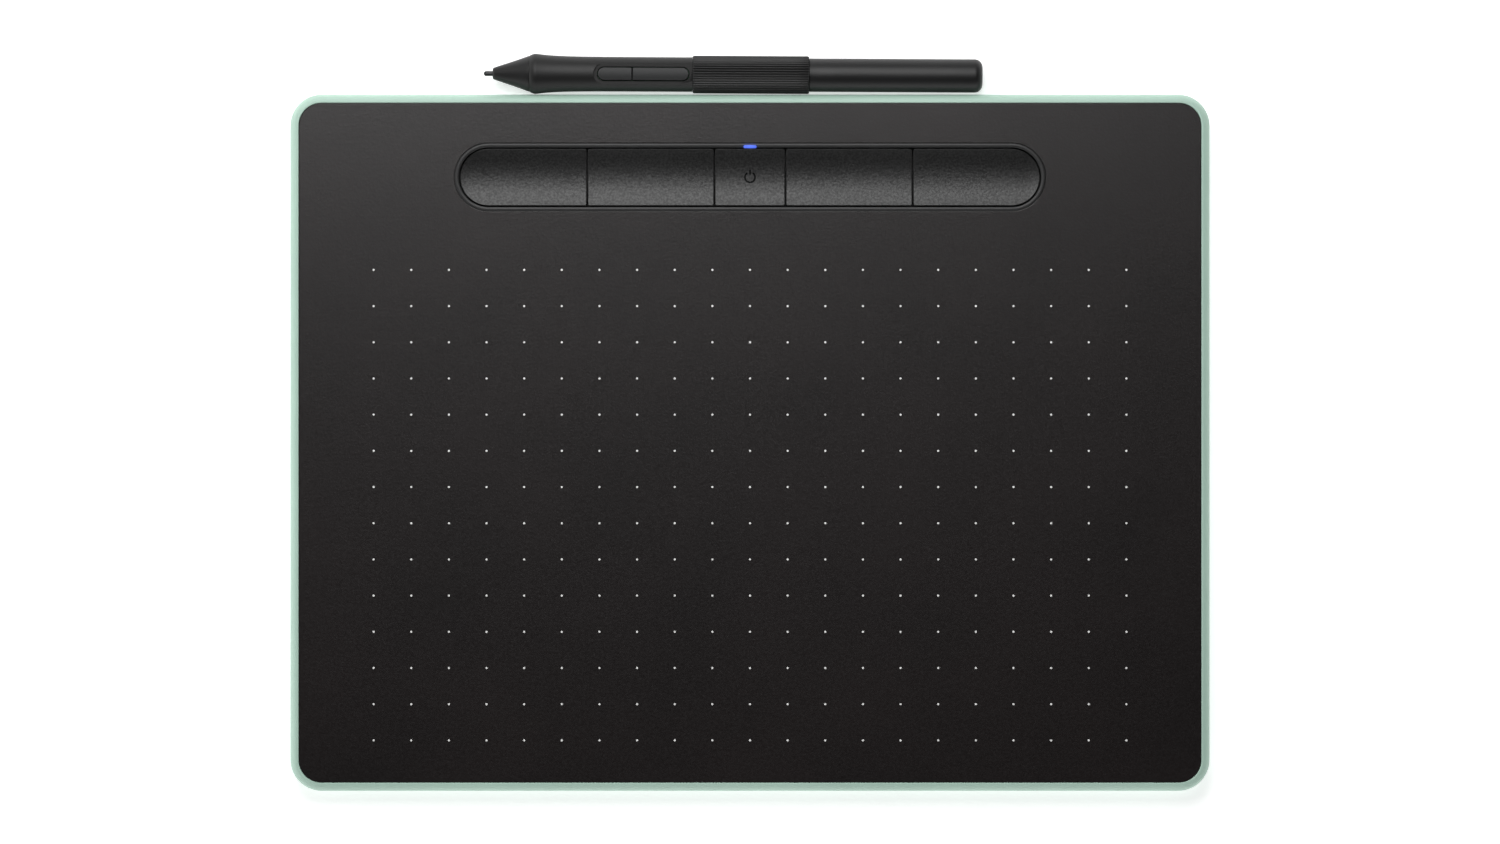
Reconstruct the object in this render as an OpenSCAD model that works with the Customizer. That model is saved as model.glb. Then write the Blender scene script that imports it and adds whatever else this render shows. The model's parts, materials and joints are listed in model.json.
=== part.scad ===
// Pen drawing tablet with a cordless pen lying along its rear edge.
// The tablet is a mint shell that holds a dark drawing surface, a dished row of
// five keys and the electronics. The pen has its own nose, grip, side keys, ribbed
// sleeve and pull-off rear barrel. Millimetres; +Z up, desk at z = 0, +Y to the rear.

/* [Tablet] */
// Width of the tablet, left to right
tablet_w = 264; // [258:1:280]
// Depth of the tablet, front to rear
tablet_d = 200; // [198:1:210]
// Thickness on the desk, feet included
tablet_h = 8.8; // [8.8:0.1:9.6]
// Outer corner radius of the shell
corner_r = 9; // [8.5:0.5:12]
// Width of the shell's rim round the drawing surface
rim_w = 2.45; // [2.3:0.05:3]
// Height of the shell's widest line
widest_z = 5.6; // [5:0.1:6]

/* [Drawing surface] */
// Width of the active area
active_w = 216; // [200:1:218]
// Depth of the active area
active_d = 135; // [120:1:136]
// Distance of the active area's centre in front of the tablet's centre
active_front = 17.9; // [17:0.1:20]
// Thickness of the textured surface sheet
sheet_t = 0.5; // [0.4:0.05:0.6]

/* [Keys] */
// Length of the row of keys, end to end
tray_l = 166.4; // [160:0.2:172]
// Width of the row of keys, front to rear
tray_w = 16.3; // [15:0.1:18]
// Distance of the key row behind the tablet's centre
tray_rear = 76.2; // [75:0.1:77]
// Width of the centre power key
power_key_w = 20.4; // [16:0.2:26]
// Depth of the dish that runs along the keys
dish_depth = 1.6; // [1:0.1:1.7]
// Gap between neighbouring keys and round the row
key_gap = 0.4; // [0.2:0.05:0.4]
// How far a key travels
key_travel = 0.4; // [0.2:0.05:0.4]

/* [Feet] */
// Diameter of a rubber foot
foot_d = 10; // [8:0.5:12]
// How far a foot stands out of the shell
foot_proud = 0.8; // [0.6:0.1:1]

/* [Pen] */
// Length of the pen, nib included
pen_l = 143.3; // [141:0.1:146]
// Diameter of the flare behind the nose
flare_d = 11.6; // [11.2:0.1:12]
// Diameter of the grip behind the flare
grip_d = 9.94; // [9.8:0.02:10.2]
// Diameter of the ribbed sleeve
sleeve_d = 10.84; // [10.6:0.02:11]
// Diameter of the rear barrel
barrel_d = 9.6; // [9.4:0.1:9.8]
// Diameter of the nib
nib_d = 1.46; // [1.3:0.02:1.6]
// Ribs round the sleeve
sleeve_ribs = 44; // [24:1:48]
// Space between the pen and the tablet's rear edge
pen_gap = 0.15; // [0.15:0.05:10]

/* [Hidden] */
$fn = 72;
e = 0.01;           // overshoot of a cutter past the face that it opens
far = 300;          // longer than any part, for cutters that run right through

// The row frame's origin is the centre of the footprint of tablet and pen.
footprint_d = tablet_d + pen_gap + flare_d;
tablet_y = (tablet_d - footprint_d) / 2;

// Heights of the layers, from the desk up
floor_z = foot_proud;
floor_t = 1.5;
inside_z = floor_z + floor_t;
sheet_top = tablet_h - 0.2;
sheet_z = sheet_top - sheet_t;
glue_t = 0.1;
plate_top = sheet_z - glue_t;
plate_t = 1.5;
plate_z = plate_top - plate_t;
board_z = inside_z + 0.5;
board_t = 0.8;
board_top = board_z + board_t;

// Shell
under_inset = 6;                 // how far the flat underside is set in
rim_land = 0.35;                 // flat crest along the rim's inner edge
curve_steps = 10;
opening_r = corner_r - rim_w;    // corner radius of the well that the panel sits in
fit_gap = 0.15;                  // panel to rim
panel_w = tablet_w - 2 * (rim_w + fit_gap);
panel_d = tablet_d - 2 * (rim_w + fit_gap);
panel_r = opening_r - fit_gap;

// Screws and feet
foot_x = tablet_w / 2 - 13.5;
foot_y = tablet_d / 2 - 14;
foot_recess = 0.6;
boss_top = inside_z + 1.1;

// Keys
end_x = (tray_l - tray_w) / 2;
dish_end_x = end_x + 4.5;
dish_top = sheet_top - 0.1;
dish_r = ((tray_w / 2) * (tray_w / 2) + dish_depth * dish_depth) / (2 * dish_depth);
dish_axis = dish_top - dish_depth + dish_r;
key_skin = 1.2;
key_wall = 1;
key_low = plate_z - 0.8;
plunger_top = key_low - 0.2;
key_edges = [-tray_l / 2, -(power_key_w / 2 + tray_l / 2) / 2, -power_key_w / 2,
             power_key_w / 2, (power_key_w / 2 + tray_l / 2) / 2, tray_l / 2];
function key_mid(i) = (key_edges[i] + key_edges[i + 1]) / 2;
bezel_in = tray_w / 2 + key_gap;
bezel_out = bezel_in + 1.2;
led_w = 3.8;
led_d = 0.8;
led_y = tray_rear + bezel_in + 0.25;

// Electronics
sensor_w = active_w + 12;
sensor_d = active_d + 12;
sensor_t = 0.8;
sensor_z = plate_z - 0.1 - sensor_t;
shield_t = 0.3;
shield_z = sensor_z - shield_t;
battery_size = [36, 22, 3.7];
battery_pad_t = 0.2;
battery_x = tablet_w / 2 - 5 - battery_size[0];
battery_y = sensor_d / 2 - active_front + 2;
battery_lead_y = battery_y + 14;
board_x0 = 8 - foot_x;
board_x1 = battery_x - 5;
board_y0 = sensor_d / 2 - active_front + 6.4;
board_y1 = tablet_d / 2 - 5.5;
board_hole = 4.5;                // board's screw holes in from its edges
usb_x = board_x0 + 5.5;
usb_w = 7.6;
usb_h = 2.7;
usb_l = 5.2;
usb_mouth = tablet_d / 2 - 0.8;

// Pen, measured along its axis from the tip of the nib
nose_x = 2.6;
grip_x = 13.1;
flare_x = 15.1;
flare_decay = 5.4;
sleeve_x = 60;
barrel_x = 93.5;
nib_l = 25;
nib_bore = nib_d / 2 + 0.22;
grip_bore = 3.5;
spigot_r = 4.35;
barrel_bore = 4.05;
bed_z = 3.92;                    // flat that the side keys stand on
bed_x = 31.5;
side_key_x0 = 32.8;
side_key_x1 = 58.9;
side_key_split = 42.7;
side_key_r = 1.83;
side_key_gap = 0.2;
side_key_low = 2;
pen_board_top = 1.2;
pen_left = 76.5;                 // nib tip to the left of the tablet's centre
pen_lift = 0.01;                 // flare off the desk
pen_angle = atan((flare_d - sleeve_d) / 2 / (barrel_x - flare_x));

// ---------- shared shapes ----------

// Rectangle with round corners, centred
module rounded(w, d, r) {
    square([w - 2 * r, d], center = true);
    square([w, d - 2 * r], center = true);
    for (x = [-1, 1], y = [-1, 1])
        translate([x * (w / 2 - r), y * (d / 2 - r)]) circle(r);
}

// Slot shape with round ends, centred, length l overall and half-width r
module stadium(l, r) {
    square([l - 2 * r, 2 * r], center = true);
    for (x = [-1, 1]) translate([x * (l / 2 - r), 0]) circle(r);
}

// Box centred in X and Y and standing on z
module block(size, at) {
    translate([at[0] - size[0] / 2, at[1] - size[1] / 2, at[2]]) cube(size);
}

// Solid whose sides follow the 2D profile (distance out from the corner axis, height)
module swept(w, d, r, z0, z1) {
    cx = w / 2 - r;
    cy = d / 2 - r;
    translate([-cx, -cy, z0]) cube([2 * cx, 2 * cy, z1 - z0]);
    for (turn = [0, 180]) rotate(turn) {
        translate([cx, 0, 0]) rotate([90, 0, 0])
            linear_extrude(2 * cy, center = true) children();
        translate([0, cy, 0]) rotate([90, 0, 90])
            linear_extrude(2 * cx, center = true) children();
        translate([cx, cy, 0]) rotate_extrude(angle = 90) children();
        translate([-cx, cy, 0]) rotate(90) rotate_extrude(angle = 90) children();
    }
}

// Tablet parts are drawn about the tablet's own centre
module tablet() translate([0, tablet_y, 0]) children();

// Four places mirrored about the tablet's centre
module at_corners(x, y) {
    for (sx = [-1, 1], sy = [-1, 1]) translate([sx * x, sy * y, 0]) children();
}

// The main board's four screw places, lifted to z
module at_board_holes(z) {
    for (x = [board_x0 + board_hole, board_x1 - board_hole], y = [board_y0 + board_hole, board_y1 - board_hole])
        translate([x, y, z]) children();
}

// ---------- shell ----------

// Outer side of the shell: an ellipse quarter over the widest line and one under it
module shell_side() {
    over_w = rim_w - rim_land;
    over_h = tablet_h - widest_z;
    under_h = widest_z - floor_z;
    polygon(concat(
        [[0, floor_z]],
        [for (i = [0:curve_steps]) let (a = 90 * (1 - i / curve_steps))
            [corner_r - under_inset * (1 - cos(a)), widest_z - under_h * sin(a)]],
        [for (i = [1:curve_steps]) let (a = 90 * i / curve_steps)
            [corner_r - over_w * (1 - cos(a)), widest_z + over_h * sin(a)]],
        [[0, tablet_h]]));
}

// Inside of the shell, with a sloping foot where wall and floor meet
module shell_inside() {
    polygon([[0, inside_z], [opening_r - 1.25, inside_z], [opening_r, inside_z + 1.3],
             [opening_r, tablet_h + 1], [0, tablet_h + 1]]);
}

module floor_ribs() {
    rib_t = 1.2;
    rib_h = shield_z - inside_z + e;
    reach_x = sensor_w - 8;
    reach_y = sensor_d - 8;
    for (i = [-2:2]) {
        block([reach_x, rib_t, rib_h], [0, -active_front + i * reach_y / 5, inside_z - e]);
        block([rib_t, reach_y, rib_h], [i * reach_x / 5, -active_front, inside_z - e]);
    }
}

// Short blocks against the wall that carry the edge of the top case
module edge_rests() {
    rest = [1.4, 2.2, plate_z - inside_z + e];
    wall_y = tablet_d / 2 - rim_w;
    wall_x = tablet_w / 2 - rim_w;
    for (x = [-100:40:100]) block(rest, [x, -wall_y + 0.8, inside_z - e]);
    for (x = [-60:40:100]) block(rest, [x, wall_y - 0.8, inside_z - e]);
    for (s = [-1, 1], y = [-60:40:60]) block([rest[1], rest[0], rest[2]], [s * (wall_x - 0.8), y, inside_z - e]);
}

module bottom_case() color("#B5D8C7") tablet() {
    difference() {
        union() {
            difference() {
                swept(tablet_w, tablet_d, corner_r, floor_z, tablet_h) shell_side();
                swept(tablet_w, tablet_d, corner_r, inside_z, tablet_h + 1) shell_inside();
            }
            floor_ribs();
            edge_rests();
            at_corners(foot_x, foot_y) translate([0, 0, inside_z - e]) cylinder(d = 8, h = boss_top - inside_z + e);
            at_board_holes(inside_z - e) cylinder(d = 4.5, h = board_z - inside_z + e);
        }
        at_corners(foot_x, foot_y) {
            translate([0, 0, floor_z - 1]) cylinder(d = foot_d + 0.2, h = foot_recess + 1);
            translate([0, 0, floor_z]) cylinder(d = 4.4, h = foot_recess + 1.1);
            cylinder(d = 2.4, h = far);
        }
        at_board_holes(board_z - 1.4) cylinder(d = 1.74, h = 5);
        translate([usb_x, tablet_d / 2, board_top + usb_h / 2]) rotate([90, 0, 0])
            linear_extrude(8, center = true) rounded(usb_w + 0.7, usb_h + 0.6, 0.8);
    }
}

// ---------- panel ----------

module tray_opening(half) {
    translate([0, tray_rear, -far / 2]) linear_extrude(far) stadium(2 * (end_x + half), half);
}

// Notch in the inner edge of the trim ring and of the top case's opening
module led_notch(clear) {
    y0 = tray_rear + bezel_in - 0.5;
    translate([-led_w / 2 - clear, y0, 0]) cube([led_w + 2 * clear, led_y + led_d / 2 + clear - y0, far]);
}

module top_case() color("#26272A") tablet() {
    difference() {
        union() {
            translate([0, 0, plate_z]) linear_extrude(plate_t) rounded(panel_w, panel_d, panel_r);
            at_corners(foot_x, foot_y) translate([0, 0, boss_top]) cylinder(d = 6, h = plate_z - boss_top + e);
        }
        tray_opening(bezel_in + 0.45);
        at_corners(foot_x, foot_y) translate([0, 0, boss_top - 1]) cylinder(d = 2.06, h = plate_z - boss_top + 0.8);
        led_notch(0.1);
    }
}

module sheet_layer(z, t, inset) {
    difference() {
        translate([0, 0, z]) linear_extrude(t) rounded(panel_w - 2 * inset, panel_d - 2 * inset, panel_r - inset);
        tray_opening(bezel_out + 0.1 + inset);
    }
}

module sheet_adhesive() color("#D8D4C4") tablet() sheet_layer(plate_top, glue_t, 0.5);

module surface_sheet() color("#2B2A2D") tablet() sheet_layer(sheet_z, sheet_t, 0);

// Trim ring round the keys: a rounded bead over a collar that drops into the top case
module key_bezel() color("#303033") tablet() {
    bead_top = sheet_top + 0.15;
    difference() {
        union() {
            translate([0, tray_rear, plate_top]) linear_extrude(bead_top - plate_top - 0.3)
                stadium(2 * (end_x + bezel_out), bezel_out);
            translate([0, tray_rear, bead_top - 0.3 - e]) linear_extrude(0.3 + e)
                stadium(2 * (end_x + bezel_out - 0.3), bezel_out - 0.3);
            translate([0, tray_rear, plate_z]) linear_extrude(plate_t + e)
                stadium(2 * (end_x + bezel_in + 0.35), bezel_in + 0.35);
        }
        tray_opening(bezel_in);
        led_notch(0.05);
    }
}

module led_lens() color("#5C86F5") tablet()
    block([led_w, led_d, sheet_top + 0.12 - (board_top + 0.9)], [0, led_y, board_top + 0.9]);

// ---------- keys ----------

// Cylinder along the key row, and the ball that closes its dish at one end
module dish_run(r)
    translate([0, tray_rear, dish_axis]) rotate([0, 90, 0]) cylinder(r = r, h = 2 * dish_end_x, center = true);
module dish_end(r, side) translate([side * dish_end_x, tray_rear, dish_axis]) sphere(r = r);

module key_outline(i, inset) {
    x0 = key_edges[i] + (i == 0 ? 0 : key_gap / 2) + inset;
    x1 = key_edges[i + 1] - (i == 4 ? 0 : key_gap / 2) - inset;
    intersection() {
        stadium(tray_l - 2 * inset, tray_w / 2 - inset);
        translate([x0, -tray_w]) square([x1 - x0, 2 * tray_w]);
    }
}

// One key: a dished skin on a skirt, with a stem over its switch and tabs under the top case
module key_shape(i) {
    side = i == 0 ? -1 : i == 4 ? 1 : 0;
    difference() {
        translate([0, tray_rear, key_low]) linear_extrude(sheet_top + 1 - key_low) key_outline(i, 0);
        translate([0, tray_rear, dish_top]) linear_extrude(5) key_outline(i, -2);
        dish_run(dish_r);
        if (side != 0) dish_end(dish_r, side);
        difference() {
            translate([0, tray_rear, key_low - e]) linear_extrude(5) key_outline(i, key_wall);
            dish_run(dish_r + key_skin);
            if (side != 0) dish_end(dish_r + key_skin, side);
        }
    }
    translate([key_mid(i), tray_rear, plunger_top])
        cylinder(d = 4, h = dish_top - dish_depth - plunger_top - key_skin / 2);
    for (sx = [-1, 1], sy = [-1, 1])
        block([4, 1.4, 0.6], [key_mid(i) + sx * 7, tray_rear + sy * (tray_w / 2 + 0.2), key_low]);
}

// Standby mark: a broken ring and a bar, sunk into the power key
module power_mark() {
    translate([0, tray_rear, dish_top - dish_depth - 0.2]) {
        linear_extrude(3) {
            difference() {
                circle(1.5);
                circle(1.15);
                translate([-0.5, 0]) square([1, 3]);
            }
            translate([-0.18, 0.6]) square([0.36, 1.3]);
        }
    }
}

module express_key_1() color("#28282A") tablet() key_shape(0);
module express_key_2() color("#28282A") tablet() key_shape(1);
module power_key() color("#28282A") tablet() difference() {
    key_shape(2);
    power_mark();
}
module express_key_3() color("#28282A") tablet() key_shape(3);
module express_key_4() color("#28282A") tablet() key_shape(4);

// ---------- electronics ----------

module main_board() color("#1F6B3A") tablet() difference() {
    union() {
        translate([board_x0, board_y0, board_z]) cube([board_x1 - board_x0, board_y1 - board_y0, board_t]);
        block([10, 4, board_t], [usb_x, board_y1, board_z]);
    }
    at_board_holes(0) cylinder(d = 1.8, h = far);
}

// Self-tapping screw, head down, shank up
module screw(head_d, head_h, shank_d, shank_l) {
    difference() {
        union() {
            cylinder(d = head_d, h = head_h);
            cylinder(d = shank_d, h = head_h + shank_l);
        }
        for (a = [0, 90]) rotate(a) translate([-head_d / 3, -0.2, -e]) cube([head_d * 2 / 3, 0.4, head_h / 2]);
    }
}

module case_screws() color("silver") tablet()
    at_corners(foot_x, foot_y) translate([0, 0, floor_z + foot_recess + 0.15]) screw(3.9, 0.95, 2, 3.6);

module board_screws() color("silver") tablet()
    at_board_holes(board_top + 0.7) mirror([0, 0, 1]) screw(3, 0.7, 1.7, board_t + 1.3);

module tact_switches() color("#3A3A3C") tablet()
    for (i = [0:4]) translate([key_mid(i), tray_rear, board_top]) difference() {
        block([5, 5, plunger_top - 0.6 - board_top], [0, 0, 0]);
        translate([0, 0, 0.3]) cylinder(d = 2.6, h = 3);
    }

module key_plunger(i) color("#E4E0D4") tablet()
    translate([key_mid(i), tray_rear, plunger_top - 0.95]) cylinder(d = 2.2, h = 0.95);

module status_led() color("#F2F2E8") tablet() block([1.6, 0.8, 0.6], [0, led_y, board_top]);

module controller_chip() color("#1C1C1E") tablet() block([9, 9, 0.9], [46.5, tray_rear - 1, board_top]);

module radio_module() color("#2C5FA8") tablet() {
    block([13, 11, 0.8], [board_x0 + 15, tray_rear - 4, board_top]);
    block([8, 8, 1], [board_x0 + 14, tray_rear - 4, board_top + 0.8 - e]);
}

module shield_can() color("silver") tablet() difference() {
    block([15, 12, 1.4], [-46.5, tray_rear - 1, board_top]);
    block([14.6, 11.6, 1.2], [-46.5, tray_rear - 1, board_top - e]);
}

module board_components() color("#B08C5A") tablet() {
    for (x = [34, 37, 40, 53, 56]) block([1.6, 0.8, 0.7], [x, tray_rear - 8, board_top]);
    for (x = [-34, -20, 20]) block([0.8, 1.6, 0.6], [x, tray_rear + 2, board_top]);
    block([3.2, 2.5, 0.8], [-80, board_y0 + 5, board_top]);
    block([4, 4, 1.2], [-88, board_y1 - 6, board_top]);
}

module usb_socket() color("silver") tablet()
    translate([usb_x, usb_mouth, board_top + usb_h / 2]) rotate([90, 0, 0]) difference() {
        linear_extrude(usb_l) rounded(usb_w, usb_h, 0.6);
        translate([0, 0, -1]) linear_extrude(usb_l + 0.5) rounded(usb_w - 0.6, usb_h - 0.6, 0.4);
    }

module usb_tongue() color("#202022") tablet()
    block([4.6, usb_l - 1.5, 0.6], [usb_x, usb_mouth - 1 - (usb_l - 1.5) / 2, board_top + 1.5]);

module battery() color("#9FA3A8") tablet()
    translate([battery_x, battery_y, inside_z + battery_pad_t]) cube(battery_size);

module battery_pad() color("#E8E4DA") tablet()
    translate([battery_x + 2, battery_y + 2, inside_z]) cube([battery_size[0] - 4, battery_size[1] - 4, battery_pad_t]);

module battery_lead() color("#B3261E") tablet()
    for (s = [-1, 1]) translate([battery_x - 5, battery_lead_y + s * 0.7, board_top + 0.8])
        rotate([0, 90, 0]) cylinder(d = 1, h = 5);

module battery_connector() color("#EDE8DC") tablet()
    block([5, 5, 1.4], [battery_x - 7.5, battery_lead_y, board_top]);

module sensor_board() color("#1D5A86") tablet() block([sensor_w, sensor_d, sensor_t], [0, -active_front, sensor_z]);

module shield_plate() color("#A9ADB2") tablet()
    block([sensor_w - 2, sensor_d - 2, shield_t], [0, -active_front, shield_z]);

// Flat ribbon that steps down from the sensor board to its connector
module sensor_ribbon() color("#C98A2B") tablet() {
    y0 = -active_front + sensor_d / 2;
    y1 = board_y0 + 1.5;
    high = sensor_z + 0.3;
    low = board_top + 0.5;
    translate([-30, 0, 0]) rotate([90, 0, 90]) linear_extrude(18)
        polygon([[y0, high], [y0 + 1.5, high], [y1 - 1.5, low], [y1, low],
                 [y1, low + 0.2], [y1 - 1.3, low + 0.2], [y0 + 1.7, high + 0.2], [y0, high + 0.2]]);
}

module ribbon_connector() color("#E8E2D0") tablet() block([20, 3.4, 1.2], [-21, board_y0 + 3.2, board_top]);

module rubber_feet() color("#3A3B3D") tablet()
    at_corners(foot_x, foot_y) {
        cylinder(d1 = foot_d - 0.6, d2 = foot_d, h = 0.3);
        translate([0, 0, 0.3]) cylinder(d = foot_d, h = foot_proud + foot_recess - 0.3);
    }

// ---------- pen ----------

// Pen parts are drawn along +X from the nib's tip, with the side keys on +Z.
// The pen lies on its flare and on the end of its sleeve, so it turns by a fraction of a degree
// about the flare, down towards the desk and in towards the tablet.
module pen() {
    translate([flare_x - pen_left, tablet_y + tablet_d / 2 + pen_gap + flare_d / 2, flare_d / 2 + pen_lift])
        rotate([0, pen_angle, -pen_angle]) translate([-flare_x, 0, 0]) children();
}

// Turned part: points are [radius, distance along the pen]
module turned(points) rotate([0, 90, 0]) rotate_extrude() polygon(points);

// Round bar or bore along the pen
module bar(r, x0, x1) translate([x0, 0, 0]) rotate([0, 90, 0]) cylinder(r = r, h = x1 - x0);

// Side-key shape seen from above, from x0 to x1, with round outer ends
module side_key_slot(x0, x1, r, z0, z1) {
    translate([(x0 + x1) / 2, 0, z0]) linear_extrude(z1 - z0) stadium(x1 - x0, r);
}

function grip_r(x) = grip_d / 2 + (flare_d - grip_d) / 2 * exp(-(x - flare_x) / flare_decay);

module pen_nib() color("#1E1E20") pen() {
    r = nib_d / 2;
    turned(concat([for (i = [0:6]) let (a = 90 * i / 6) [r * sin(a), r * (1 - cos(a))]],
                  [[r, nib_l], [0, nib_l]]));
}

module pen_nose() color("#2A2B2C") pen() difference() {
    union() {
        turned([[0, nose_x], [1.25, nose_x], [1.5, nose_x + 0.15], [2.1, 4.7], [2.87, 7],
                [3.68, 9.3], [4.6, 11.6], [5.25, grip_x], [0, grip_x]]);
        bar(4.2, grip_x - e, grip_x + 4);
    }
    bar(nib_bore, 0, 20);
    bar(2.9, 8.5, 20);
}

module pen_grip() color("#2C2D2F") pen() difference() {
    union() {
        turned(concat(
            [[0, grip_x], [5.27, grip_x], [5.55, grip_x + 0.7], [5.74, grip_x + 1.4]],
            [for (x = [flare_x, 15.6, 16.2, 17, 18, 19.5, 21.5, 24, 27, 31, 38]) [grip_r(x), x]],
            [[grip_d / 2, sleeve_x], [0, sleeve_x]]));
        bar(spigot_r, sleeve_x - e, sleeve_x + 6);
    }
    bar(4.25, grip_x - 1, grip_x + 4.1);
    bar(grip_bore, grip_x, sleeve_x + 7);
    side_key_slot(bed_x, sleeve_x + 20, 3.07, bed_z, 8);
    side_key_slot(side_key_x0 - side_key_gap, side_key_x1 + side_key_gap, side_key_r + side_key_gap, 0, 8);
}

module side_key(x0, x1) {
    intersection() {
        union() {
            side_key_slot(side_key_x0, side_key_x1, side_key_r, side_key_low, 6);
            side_key_slot(side_key_x0 - 0.4, side_key_x1 + 0.4, side_key_r + 0.4, side_key_low, side_key_low + 0.5);
        }
        translate([x0, -5, 0]) cube([x1 - x0, 10, 10]);
        bar(grip_d / 2 + 0.12, 0, 80);
    }
}

module pen_switch_front() color("#36373A") pen() side_key(side_key_x0 - 1, side_key_split - 0.15);
module pen_switch_rear() color("#36373A") pen() side_key(side_key_split + 0.15, side_key_x1 + 1);

module pen_sleeve() color("#1B1B1D") pen() difference() {
    bar(sleeve_d / 2, sleeve_x + 0.02, barrel_x);
    bar(spigot_r + 0.03, 0, far);
    for (i = [0:sleeve_ribs - 1]) rotate([360 / sleeve_ribs * i, 0, 0])
        translate([0, 0, sleeve_d / 2]) rotate([45, 0, 0]) cube([far, 0.4, 0.4], center = true);
}

module pen_chassis() color("#3C3D40") pen() difference() {
    union() {
        bar(3.4, 18, 70);
        bar(spigot_r, 66.1, barrel_x);
        bar(barrel_bore - 0.05, barrel_x - e, barrel_x + 7);
    }
    bar(2.75, 0, 64);
    bar(3, 90, 101);
    translate([10, -5, 0.35]) cube([55, 10, 10]);
}

module pen_rear_barrel() color("#29292B") pen() difference() {
    end_r = 2.3;
    r = barrel_d / 2;
    turned(concat(
        [[0, barrel_x + 0.02], [r, barrel_x + 0.02]],
        [for (i = [0:8]) let (a = 90 * i / 8) [r - end_r * (1 - cos(a)), pen_l - end_r * (1 - sin(a))]],
        [[0, pen_l]]));
    bar(barrel_bore, 0, pen_l - 4.3);
}

module pen_nib_holder() color("#C9C4B6") pen() difference() {
    bar(1.5, 21.8, 27);
    bar(nib_d / 2 + 0.04, 0, nib_l + 0.2);
}

module pen_ferrite_core() color("#4A4A4D") pen() difference() {
    bar(1.9, 9, 21);
    bar(nib_bore, 0, 30);
}

module pen_coil() color("#B5651D") pen() difference() {
    bar(2.6, 11, 20);
    bar(1.92, 0, 30);
}

module pen_pressure_sensor() color("#8E9196") pen() difference() {
    bar(2.6, 22.6, 31.8);
    bar(1.7, 0, 27.6);
}

module pen_circuit_board() color("#1F6B3A") pen() translate([32.5, -3, 0.4]) cube([30.5, 6, pen_board_top - 0.4]);

module pen_dome_switches() color("silver") pen()
    for (x = [38.5, 50]) translate([x, 0, pen_board_top]) cylinder(d1 = 3, d2 = 2.2, h = 0.35);

module pen_board_chips() color("#1C1C1E") pen() {
    translate([42.5, -1.5, pen_board_top]) cube([3.5, 3, 0.3]);
    translate([60, -1, pen_board_top]) cube([2, 2, 0.4]);
}

module nib_places() for (a = [0, 120, 240]) rotate([a, 0, 0]) translate([0, 0, 1.6]) children();

module spare_nib_rack() color("#D6D2C6") pen() difference() {
    bar(2.95, 90, 99);
    nib_places() bar(nib_d / 2 + 0.03, 93, far);
}

module spare_nibs() color("#1E1E20") pen() nib_places() bar(nib_d / 2, 93.5, 93.5 + nib_l);

// ---------- assembly ----------

bottom_case();
top_case();
surface_sheet();
sheet_adhesive();
key_bezel();
led_lens();
rubber_feet();
case_screws();
main_board();
board_screws();
tact_switches();
status_led();
controller_chip();
radio_module();
shield_can();
board_components();
usb_socket();
usb_tongue();
battery();
battery_pad();
battery_lead();
battery_connector();
sensor_board();
shield_plate();
sensor_ribbon();
ribbon_connector();
express_key_1();
express_key_2();
power_key();
express_key_3();
express_key_4();
key_plunger(0);  // key_plunger_1
key_plunger(1);  // key_plunger_2
key_plunger(2);  // key_plunger_3
key_plunger(3);  // key_plunger_4
key_plunger(4);  // key_plunger_5
pen_nose();
pen_grip();
pen_sleeve();
pen_rear_barrel();
pen_chassis();
pen_switch_front();
pen_switch_rear();
pen_nib();
pen_nib_holder();
pen_ferrite_core();
pen_coil();
pen_pressure_sensor();
pen_circuit_board();
pen_dome_switches();
pen_board_chips();
spare_nib_rack();
spare_nibs();
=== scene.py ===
import json
import math

import bmesh
import bpy
from mathutils import Matrix, Vector
from mathutils.geometry import delaunay_2d_cdt


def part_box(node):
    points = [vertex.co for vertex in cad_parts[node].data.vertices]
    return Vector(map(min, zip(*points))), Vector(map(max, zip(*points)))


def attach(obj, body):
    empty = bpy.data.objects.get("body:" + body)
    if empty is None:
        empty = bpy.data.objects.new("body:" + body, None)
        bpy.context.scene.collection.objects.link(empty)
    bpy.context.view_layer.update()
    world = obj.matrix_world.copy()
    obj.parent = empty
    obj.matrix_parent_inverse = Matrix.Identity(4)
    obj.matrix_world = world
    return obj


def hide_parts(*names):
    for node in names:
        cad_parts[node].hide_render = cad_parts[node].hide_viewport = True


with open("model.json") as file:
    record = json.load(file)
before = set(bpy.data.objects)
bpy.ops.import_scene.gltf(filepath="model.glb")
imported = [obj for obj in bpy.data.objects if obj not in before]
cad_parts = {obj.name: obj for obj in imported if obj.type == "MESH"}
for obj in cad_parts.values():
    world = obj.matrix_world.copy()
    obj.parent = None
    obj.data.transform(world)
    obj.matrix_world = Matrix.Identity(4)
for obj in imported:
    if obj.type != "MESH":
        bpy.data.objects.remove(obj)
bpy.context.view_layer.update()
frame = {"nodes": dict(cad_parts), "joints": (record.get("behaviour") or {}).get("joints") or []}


# ---- Bottom case ----
# One injection moulding in mint ABS: a shallow tray with a rounded side, whose rim stands 0.2 mm
# proud round the drawing surface. Four round pockets underneath take the feet, and the rear wall
# is open for the USB plug.

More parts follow.
